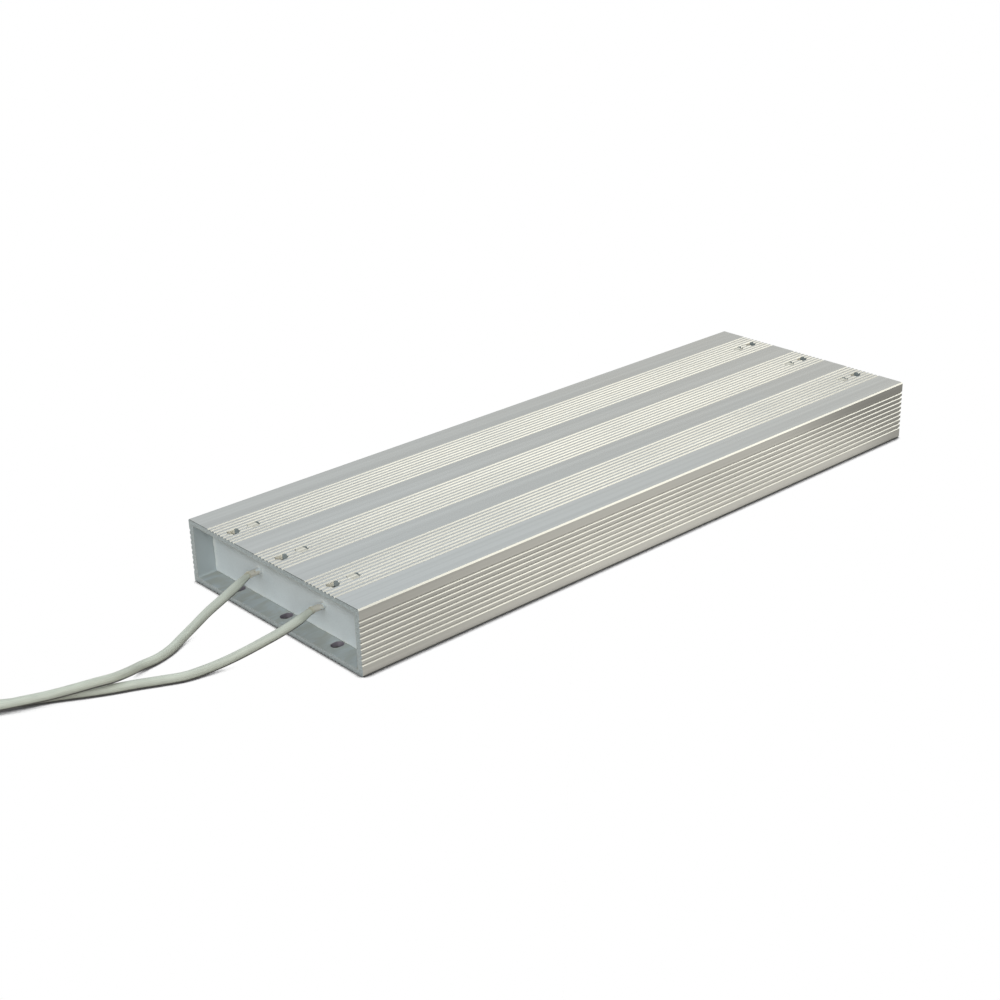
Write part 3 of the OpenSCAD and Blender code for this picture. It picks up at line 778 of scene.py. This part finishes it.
class RESISTOR_OT_seals(bpy.types.Operator):
    """Pour the two cast seals, with their creep up the walls and the wires"""

    bl_idname = "resistor.seals"
    bl_label = "Seals"

    def execute(self, context):
        settings = context.scene.resistor_seal
        cement = cast_cement(context.scene.resistor_finish)
        for name, node, outward, face in (
                ("front_seal_cast", "front_seal", -1, FRONT_SEAL_LOW[0]),
                ("rear_seal_cast", "rear_seal", 1, REAR_SEAL_HIGH[0])):
            mesh = bpy.data.objects[node].data.copy()
            welded = bmesh.new()
            welded.from_mesh(mesh)
            bmesh.ops.remove_doubles(welded, verts=welded.verts, dist=WELD)
            welded.to_mesh(mesh)
            welded.free()
            piece = bpy.data.objects.new(name, mesh)
            context.scene.collection.objects.link(piece)
            cells = piece.modifiers.new("cells", "REMESH")
            cells.mode = "VOXEL"
            cells.voxel_size = settings.grain
            cells.use_smooth_shade = True
            applied(piece)
            self.pour(piece.data, outward, face, settings)
            self.wipe(piece.data, face - outward * SEAL_DEPTH / 2, context.scene.resistor_housing)
            coat(piece.data, cement)
            join_root(piece, "cast_cement", node)
        return {"FINISHED"}

    def pour(self, mesh, outward, face, settings):
        """Moves the poured face: slow waves, and a rim that climbs the walls and the wires."""
        points = mesh_points(mesh)
        x, y, z = points.T
        skin = np.clip(1 - (face - x) * outward / SKIN_DEPTH, 0, 1)
        floor_or_roof = np.minimum(z - HOLLOW_LOW[2], HOLLOW_HIGH[2] - z)
        rise = fade(np.minimum(HOLLOW_HIGH[1] - np.abs(y), floor_or_roof), WALL_REACH)
        # The pour ran highest up the wall beside the left lead
        left = fade(HOLLOW_HIGH[1] - y, LEFT_REACH)
        if outward < 0:
            for side in (1, -1):
                away = np.hypot(y - side * LEAD_OFFSET, z - LEAD_HEIGHT) - CORE_HIGH[1] + LEAD_OFFSET
                rise = np.maximum(rise, WIRE_RISE * fade(away, WIRE_REACH))
        wave = np.array([noise.noise(Vector(point) * WAVE_SCALE + WAVE_START) for point in points])
        ripple = np.array([noise.noise(Vector(point) * RIPPLE_SCALE) for point in points])
        climb = settings.creep * rise * (1 + RIPPLE_SHARE * ripple)
        climb += settings.creep * LEFT_RISE * left * (1 + wave)
        points[:, 0] += outward * skin * (climb + settings.unevenness * wave + RIPPLE_HEIGHT * ripple)
        mesh.vertices.foreach_set("co", points.ravel())
        rim = mesh.attributes.new("creep", "FLOAT", "POINT")
        pale = skin * np.maximum(rise, left) * (RIM_PALENESS + ripple)
        rim.data.foreach_set("value", np.clip(pale, 0, 1))
        mesh.update()

    def wipe(self, mesh, middle, housing):
        """Wipes the cement in the upper slots level with the grooves. It shrank from the slots' rear ends."""
        points = mesh_points(mesh)
        x, y, z = points.T
        aside = y - housing.band_spacing * np.round(y / housing.band_spacing)
        off = np.abs(aside - housing.groove_pitch * np.round(aside / housing.groove_pitch))
        slope = (housing.groove_mouth - housing.groove_floor) / 2
        groove = housing.groove_depth * np.clip((housing.groove_mouth / 2 - off) / slope, 0, 1)
        shrunk = SHRINK_DEPTH * np.clip((x - middle - SHRINK_START) / SHRINK_RUN, 0, 1)
        level = HOUSING_HIGH[2] - WIPED_DROP - WIPED_GROOVE * groove - shrunk
        share = (z - HOLLOW_HIGH[2]) / (FRONT_SEAL_HIGH[2] - HOLLOW_HIGH[2])
        plug = share > 0
        points[plug, 2] = (HOLLOW_HIGH[2] + share * (level - HOLLOW_HIGH[2]))[plug]
        mesh.vertices.foreach_set("co", points.ravel())
        # Cement counts as wiped from half way up its slot
        for name, value in (
                ("wiped", np.clip(2 * share, 0, 1)), ("grooved", groove / housing.groove_depth)):
            mesh.attributes.new(name, "FLOAT", "POINT").data.foreach_set("value", value)
        mesh.update()


# Leads

def sleeve_tree():
    """A tube along a curve, with a map that runs round it and along it by the same length."""
    tree, add, sizes = new_tree(
        "braided_sleeve", Geometry=("Curve",), Float=("Diameter", "Neck", "Neck Start", "Neck End"),
        Int=("Facets",), Material=("Material",))
    radius = add(MATH, (sizes["Diameter"], 0.5), operation="MULTIPLY")
    ring = add(CIRCLE, {"Resolution": sizes["Facets"], "Radius": radius})
    along = add(SPLINE).outputs["Length"]
    around = add(SPLINE).outputs["Factor"]
    rail, hoop = (
        add(STORE, {"Geometry": line, "Name": name, "Value": value}, data_type="FLOAT", domain="POINT")
        for line, name, value in ((sizes["Curve"], "along", along), (ring, "round", around)))
    # The sleeve is drawn tight over the wire at its start
    waist = add(MATH, (sizes["Neck"], sizes["Diameter"]), operation="DIVIDE")
    swell = add(
        RANGE, {"Value": along, "From": (sizes["Neck Start"], sizes["Neck End"]), "To Min": waist}, **SMOOTH)
    tube = add(CURVE_TO_MESH, {"Curve": rail, "Profile Curve": hoop, "Scale": swell, "Fill Caps": True})
    close_tree(add, tube, sizes["Material"])
    return tree


def map_braid(mesh, diameter):
    """Writes the tube's own map from the two lengths that its tree stored, closed at the seam."""
    along = np.empty(len(mesh.vertices))
    mesh.attributes["along"].data.foreach_get("value", along)
    around = np.empty(len(mesh.vertices))
    mesh.attributes["round"].data.foreach_get("value", around)
    corners = np.empty(len(mesh.loops), dtype=np.int32)
    mesh.loops.foreach_get("vertex_index", corners)
    turn = around[corners]
    for face in mesh.polygons:
        own = turn[face.loop_start:face.loop_start + face.loop_total]
        if own.max() - own.min() > 0.5:
            own[own < 0.5] += 1
    flat = np.stack([turn, along[corners] / (math.pi * diameter)], axis=1)
    mesh.uv_layers.new(name="braid").data.foreach_set("uv", flat.ravel())
    for name in ("along", "round"):
        mesh.attributes.remove(mesh.attributes[name])


class RESISTOR_OT_leads(bpy.types.Operator):
    """Lay the two braided leads along their routes"""

    bl_idname = "resistor.leads"
    bl_label = "Leads"

    def execute(self, context):
        settings = context.scene.resistor_lead
        braid = varnished_glass_braid(context.scene.resistor_finish)
        tree = sleeve_tree()
        for side, _, route in SIDES:
            path = smooth_path(route)
            curve = bpy.data.curves.new("route_" + side, "CURVE")
            curve.dimensions = "3D"
            spline = curve.splines.new("POLY")
            spline.points.add(len(path) - 1)
            spline.points.foreach_set("co", [value for point in path for value in (*point, 1)])
            carrier = bpy.data.objects.new("route_" + side, curve)
            context.scene.collection.objects.link(carrier)
            lead = piece_from_tree("lead_sleeve_" + side, tree, {
                "Diameter": settings.sleeve_diameter, "Neck": settings.core_diameter + NECK_SLACK,
                "Neck Start": NECK_START, "Neck End": NECK_END, "Facets": SLEEVE_FACETS, "Material": braid,
            }, base=carrier)
            map_braid(lead.data, settings.sleeve_diameter)
            shade(lead, LEAD_ANGLE)
            join_root(lead, "lead_sleeve", "lead_" + side)
        return {"FINISHED"}


def strands_tree():
    """A bundle of strands along +X: one in the middle and two rings round it, twisted together."""
    tree, add, sizes = new_tree(
        "tinned_strands", Float=("Length", "Strand Diameter", "Twist"), Vector=("Place",),
        Material=("Material",))
    straight = add("GeometryNodeCurvePrimitiveLine", {"End": add(COMBINE, {"X": sizes["Length"]})})
    wire = add("GeometryNodeResampleCurve", {"Curve": straight, "Count": 14})
    # One strand, then rings of more, with their radius in strand diameters
    rings = [add(MESH_LINE, {"Count": 1})]
    for count, share in ((6, 1.06), (12, 2.08)):
        out = add(MATH, (sizes["Strand Diameter"], share), operation="MULTIPLY")
        rings.append(add(MESH_CIRCLE, {"Vertices": count, "Radius": out}))
    upright = [add(TRANSFORM, {"Geometry": ring, "Rotation": (0, math.pi / 2, 0)}) for ring in rings]
    bundle = add(REALIZE, add(INSTANCE, {"Points": add(JOIN, upright), "Instance": wire}))
    here = add(POSITION)
    share = add(MATH, (add(SPLIT, here).outputs[0], sizes["Length"]), operation="DIVIDE")
    turn = add(MATH, (share, sizes["Twist"]), operation="MULTIPLY")
    wound = add("ShaderNodeVectorRotate", {"Vector": here, "Angle": turn}, rotation_type="X_AXIS")
    twisted = add(
        "GeometryNodeSetPosition", {"Geometry": bundle, "Position": wound, "Offset": sizes["Place"]})
    radius = add(MATH, (sizes["Strand Diameter"], 0.5), operation="MULTIPLY")
    skin = add(CIRCLE, {"Resolution": 10, "Radius": radius})
    strands = add(CURVE_TO_MESH, {"Curve": twisted, "Profile Curve": skin, "Fill Caps": True})
    close_tree(add, strands, sizes["Material"])
    return tree


class RESISTOR_OT_lead_ends(bpy.types.Operator):
    """Twist the bare tinned strands at the far ends of the leads"""

    bl_idname = "resistor.lead_ends"
    bl_label = "Lead ends"

    def execute(self, context):
        settings = context.scene.resistor_lead
        # Copper strands dipped in tin: bright, with soft waves where the tin ran
        tinned = plain_finish("tinned_copper", ("#CFCDC6", "#E2E1DC"), 900, 1, 0.28, 0.03 * MM)
        tree = strands_tree()
        for side, _, _ in SIDES:
            low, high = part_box("lead_end_" + side)
            place = (low[0], (low[1] + high[1]) / 2, (low[2] + high[2]) / 2)
            end = piece_from_tree("tinned_end_" + side, tree, {
                "Length": settings.strand_length, "Strand Diameter": settings.strand_diameter,
                "Twist": settings.strand_twist, "Place": place, "Material": tinned})
            shade(end, LEAD_ANGLE)
            join_root(end, "tinned_strands", "lead_end_" + side)
        return {"FINISHED"}


def fray_tree():
    """Loose yarn ends round a cut sleeve, lying towards +X and splayed a little, each at its own angle."""
    tree, add, sizes = new_tree(
        "frayed_yarns", Float=("Radius", "Yarn Length", "Yarn Diameter"), Int=("Yarns", "Seed"),
        Vector=("Place",), Material=("Material",))
    # A yarn bows outwards a little past its middle, and thins towards its end
    bow, swell = (add(MATH, (sizes["Yarn Length"], part), operation="MULTIPLY") for part in (0.55, 0.16))
    bent = add("GeometryNodeCurveQuadraticBezier", {
        "Resolution": 4, "Start": (0, 0, 0), "Middle": add(COMBINE, {"X": bow, "Z": swell}),
        "End": add(COMBINE, {"X": sizes["Yarn Length"]})})
    thick = add(MATH, (sizes["Yarn Diameter"], 0.5), operation="MULTIPLY")
    ring = add(CIRCLE, {"Resolution": 5, "Radius": thick})
    taper = add(RANGE, {"Value": add(SPLINE).outputs["Factor"], "To": (1, 0.35)})
    thinned = add("GeometryNodeSetCurveRadius", {"Curve": bent, "Radius": taper})
    yarn = add(CURVE_TO_MESH, {"Curve": thinned, "Profile Curve": ring, "Scale": taper, "Fill Caps": True})
    circle = add(MESH_CIRCLE, {"Vertices": sizes["Yarns"], "Radius": sizes["Radius"]})
    upright = add(TRANSFORM, {
        "Geometry": circle, "Rotation": (0, math.pi / 2, 0), "Translation": sizes["Place"]})
    outward = add(VECTOR, (add(POSITION), sizes["Place"]), operation="SUBTRACT")
    apart = add(SPLIT, outward).outputs
    clock = add(MATH, (apart[1], apart[2]), operation="ARCTAN2")
    against = add(MATH, (clock, -1), operation="MULTIPLY")
    splay = add(RANDOM, {
        "Min": (-0.5, -0.25, -0.5), "Max": (0.5, 0.35, 0.5), "Seed": sizes["Seed"]}, data_type="FLOAT_VECTOR")
    length = add(RANDOM, {"Min": 0.35, "Max": 1, "Seed": sizes["Seed"]}, data_type="FLOAT")
    copies = add(INSTANCE, {
        "Points": upright, "Instance": yarn, "Rotation": add(COMBINE, {"X": against}), "Scale": length})
    splayed = add("GeometryNodeRotateInstances", {"Instances": copies, "Rotation": splay})
    close_tree(add, splayed, sizes["Material"])
    return tree


class RESISTOR_OT_lead_cores(bpy.types.Operator):
    """Finish the inner wires and fray the sleeves where they were cut"""

    bl_idname = "resistor.lead_cores"
    bl_label = "Lead cores"

    def execute(self, context):
        settings = context.scene.resistor_lead
        rubber = stained_rubber(context.scene.resistor_finish)
        # Loose glass yarn, browned by the heat
        yarn = plain_finish("browned_glass_yarn", ("#C6BA9E", "#E3E0D0"), 500, 0, 0.6, 0.03 * MM)
        tree = fray_tree()
        for number, (side, sign, _) in enumerate(SIDES):
            coat(bpy.data.objects["lead_core_" + side].data, rubber)
            fray = piece_from_tree("frayed_yarns_" + side, tree, {
                "Yarns": settings.frayed_yarns, "Radius": settings.core_diameter * FRAY_SHARE,
                "Yarn Length": YARN_LENGTH, "Yarn Diameter": YARN_DIAMETER,
                "Place": (SLEEVE_START - FRAY_INSET, sign * LEAD_OFFSET, LEAD_HEIGHT),
                "Seed": FRAY_SEED + number, "Material": yarn})
            fray.data.shade_smooth()
            join_root(fray, "lead_sleeve")
        return {"FINISHED"}


# Inner parts

class RESISTOR_OT_inner_parts(bpy.types.Operator):
    """Finish the parts inside the housing"""

    bl_idname = "resistor.inner_parts"
    bl_label = "Inner parts"

    def execute(self, context):
        for *finish, nodes in (
                # Quartz sand: pale grains of about 0.5 mm
                ("packed_quartz_sand", ("#B8AB90", "#D9CFB9"), 1900, 0, 0.9, 0.2 * MM, ("filler",)),
                # Steatite: fired, off-white, faintly speckled
                ("fired_steatite", ("#DAD3C2", "#E9E4D7"), 700, 0, 0.55, 0.03 * MM,
                 ("former_left", "former_right")),
                # Nickel-chromium ribbon: dark oxide with straw and blue patches
                ("oxidised_nickel_chromium", ("#6E6A63", "#8F8A80"), 400, 1, 0.42, 0.02 * MM,
                 ("winding_left", "winding_right")),
                # Zinc-plated steel sheet: cool grey with a fine spangle
                ("zinc_plated_steel", ("#A9AEB0", "#C3C8CA"), 650, 1, 0.36, 0.02 * MM,
                 ("front_cap_left", "front_cap_right", "rear_cap_left", "rear_cap_right", "series_link")),
                # Tinned brass: warm bright grey with crimp marks
                ("tinned_brass", ("#C2BBA5", "#D8D4C6"), 500, 1, 0.3, 0.03 * MM,
                 ("ferrule_left", "ferrule_right"))):
            material = plain_finish(*finish)
            for node in nodes:
                coat(bpy.data.objects[node].data, material)
        return {"FINISHED"}


# Stage

def white_table(stage):
    """White table: white to the camera, with a tight shadow, and pale in the metal's reflections."""
    material = bpy.data.materials.new("white_table")
    material.use_nodes = True
    material.node_tree.nodes.clear()
    add = partial(add_node, material.node_tree)
    rays = add(LIGHT_PATH).outputs
    along = add(SPLIT, add(COORDINATES).outputs["Object"]).outputs
    # The shadow hugs the object, and the round leads leave a thinner line than the housing's upright walls
    close = add("ShaderNodeAmbientOcclusion", {"Distance": 5 * MM}, samples=12).outputs["AO"]
    clearance = add(RANGE, {"Value": along[0], "From": (-0.2, -0.182), "To": (0.2, -0.07)})
    open_sky = add(MATH, (close, clearance), operation="ADD")
    shadow = add(RANGE, {"Value": open_sky, "From": (0.5, 0.64), "To": (0.07, 1)}, **SMOOTH)
    # In the metal the table is brightest beside the middle, darker away from the housing and past its far end
    rising = add(RANGE, {"Value": along[0], "From": (-0.16, -0.02), "To": (0.78, 1)}, **SMOOTH)
    fading = add(RANGE, {"Value": along[0], "From": (0.13, 0.2), "To": (1, 0.5)}, **SMOOTH)
    nearer = add(RANGE, {"Value": along[1], "From": (-0.115, -0.06), "To": (0.8, 1)})
    light = add(MATH, (rising, fading), operation="MULTIPLY")
    light = add(MATH, (light, nearer), operation="MULTIPLY")
    pale = add(VECTOR, (stage.table, light), operation="SCALE")
    seen = add(MIX, (rays["Is Camera Ray"], pale, "#FFFFFF"), data_type="RGBA")
    shown = add("ShaderNodeEmission", {"Color": add(VECTOR, (seen, shadow), operation="SCALE")})
    # Light that the table throws back on the object comes from a dark grey
    lit = add("ShaderNodeBsdfDiffuse", {"Color": "#262524"})
    mirror = add(MATH, (rays["Is Glossy Ray"], rays["Is Transmission Ray"]), operation="MAXIMUM")
    direct = add(MATH, (rays["Is Camera Ray"], mirror), operation="MAXIMUM")
    add("ShaderNodeOutputMaterial", {"Surface": add("ShaderNodeMixShader", (direct, lit, shown))})
    return material


class RESISTOR_OT_stage(bpy.types.Operator):
    """Set the table, the light and the camera"""

    bl_idname = "resistor.stage"
    bl_label = "Stage"

    def execute(self, context):
        scene = context.scene
        stage = scene.resistor_stage
        scene.view_settings.view_transform = "Standard"
        self.set_table(scene, stage)
        self.set_room(scene, stage)
        for name, place, size, power, colour in LAMPS:
            self.set_lamp(scene, name, place, size, getattr(stage, power), linear(colour))
        self.set_camera(scene, stage)
        return {"FINISHED"}

    def set_table(self, scene, stage):
        """Lays a wide table just under the housing."""
        mesh = bpy.data.meshes.new("table")
        quarters = ((-1, -1), (1, -1), (1, 1), (-1, 1))
        corners = [(x * TABLE_REACH, y * TABLE_REACH, -TABLE_DROP) for x, y in quarters]
        mesh.from_pydata(corners, [], [(0, 1, 2, 3)])
        mesh.materials.append(white_table(stage))
        table = bpy.data.objects.new("table", mesh)
        scene.collection.objects.link(table)

    def set_room(self, scene, stage):
        """Surrounds the object with a soft room, palest under the ceiling, and white to the camera."""
        world = bpy.data.worlds.new("even_room")
        world.use_nodes = True
        scene.world = world
        world.node_tree.nodes.clear()
        add = partial(add_node, world.node_tree)
        rays = add(LIGHT_PATH).outputs
        view = add(SPLIT, add(COORDINATES).outputs["Generated"]).outputs
        low = add(RANGE, {"Value": view[2], "From": (0.18, 0.56)})
        high = add(RANGE, {"Value": view[2], "From": (0.65, 0.95)}, **SMOOTH)
        walls = add(MIX, (low, stage.horizon, stage.cove), data_type="RGBA")
        room = add(MIX, (high, walls, stage.zenith), data_type="RGBA")
        # The wall behind the camera is the darker one, and the one opposite is dimmest straight across
        turn = add(RANGE, {"Value": view[1], "From": (-0.55, 0.1), "To": (0.32, 1)}, **SMOOTH)
        fall = add(RANGE, {"Value": view[1], "From": (0.3, 1), "To": (1.26, 0.9)})
        level = add(MATH, (turn, fall), operation="MULTIPLY")
        dimmed = add(VECTOR, (room, level), operation="SCALE")
        seen = add(MIX, (rays["Is Camera Ray"], dimmed, "#FFFFFF"), data_type="RGBA")
        add("ShaderNodeOutputWorld", {"Surface": add("ShaderNodeBackground", {"Color": seen})})

    def set_lamp(self, scene, name, place, size, power, colour):
        """Hangs an oblong soft lamp, its length level, that faces the middle of the housing."""
        light = bpy.data.lights.new(name, "AREA")
        light.shape = "RECTANGLE"
        light.size, light.size_y = size
        light.energy = power
        light.color = colour
        lamp = bpy.data.objects.new(name, light)
        lamp.location = place
        lamp.rotation_euler = (-Vector(place)).to_track_quat("-Z", "Y").to_euler()
        scene.collection.objects.link(lamp)

    def set_camera(self, scene, stage):
        """Stands the camera where the photograph was taken from."""
        back = Vector((
            math.sin(stage.azimuth) * math.cos(stage.elevation),
            -math.cos(stage.azimuth) * math.cos(stage.elevation), math.sin(stage.elevation)))
        right = Vector((0, 0, 1)).cross(back).normalized()
        up = back.cross(right)
        turned_right = right * math.cos(stage.roll) + up * math.sin(stage.roll)
        turned_up = up * math.cos(stage.roll) - right * math.sin(stage.roll)
        place = turned_right * stage.across + turned_up * stage.above + back * stage.distance
        axes = Matrix((turned_right, turned_up, back)).transposed()
        data = bpy.data.cameras.new("camera")
        data.sensor_fit = "HORIZONTAL"
        data.sensor_width = SENSOR_WIDTH
        data.lens = stage.lens
        data.clip_start = 0.01
        data.clip_end = 20
        camera = bpy.data.objects.new("camera", data)
        camera.matrix_world = Matrix.Translation(place) @ axes.to_4x4()
        scene.collection.objects.link(camera)
        scene.camera = camera


# Panel and registration

GROUPS = (
    ("resistor_housing", HousingSettings),
    ("resistor_seal", SealSettings),
    ("resistor_lead", LeadSettings),
    ("resistor_finish", FinishSettings),
    ("resistor_stage", StageSettings),
)
STEPS = (
    RESISTOR_OT_stage,
    RESISTOR_OT_lead_ends,
    RESISTOR_OT_leads,
    RESISTOR_OT_lead_cores,
    RESISTOR_OT_housing,
    RESISTOR_OT_seals,
    RESISTOR_OT_inner_parts,
)


class RESISTOR_PT_panel(bpy.types.Panel):
    """Settings and steps of the flat power resistor"""

    bl_idname = "RESISTOR_PT_panel"
    bl_label = "Flat power resistor"
    bl_space_type = "VIEW_3D"
    bl_region_type = "UI"
    bl_category = "Resistor"

    def draw(self, context):
        layout = self.layout
        for step in STEPS:
            layout.operator(step.bl_idname)
        for name, group in GROUPS:
            box = layout.box()
            for setting in group.__annotations__:
                box.prop(getattr(context.scene, name), setting)


def register():
    for name, group in GROUPS:
        bpy.utils.register_class(group)
        setattr(bpy.types.Scene, name, PointerProperty(type=group))
    for step in STEPS:
        bpy.utils.register_class(step)
    bpy.utils.register_class(RESISTOR_PT_panel)


def unregister():
    bpy.utils.unregister_class(RESISTOR_PT_panel)
    for step in reversed(STEPS):
        bpy.utils.unregister_class(step)
    for name, group in reversed(GROUPS):
        delattr(bpy.types.Scene, name)
        bpy.utils.unregister_class(group)


def main():
    """Makes every piece."""
    register()
    bpy.ops.resistor.stage()
    bpy.ops.resistor.lead_ends()
    bpy.ops.resistor.leads()
    bpy.ops.resistor.lead_cores()
    bpy.ops.resistor.housing()
    bpy.ops.resistor.seals()
    bpy.ops.resistor.inner_parts()


if __name__ == "__main__":
    main()
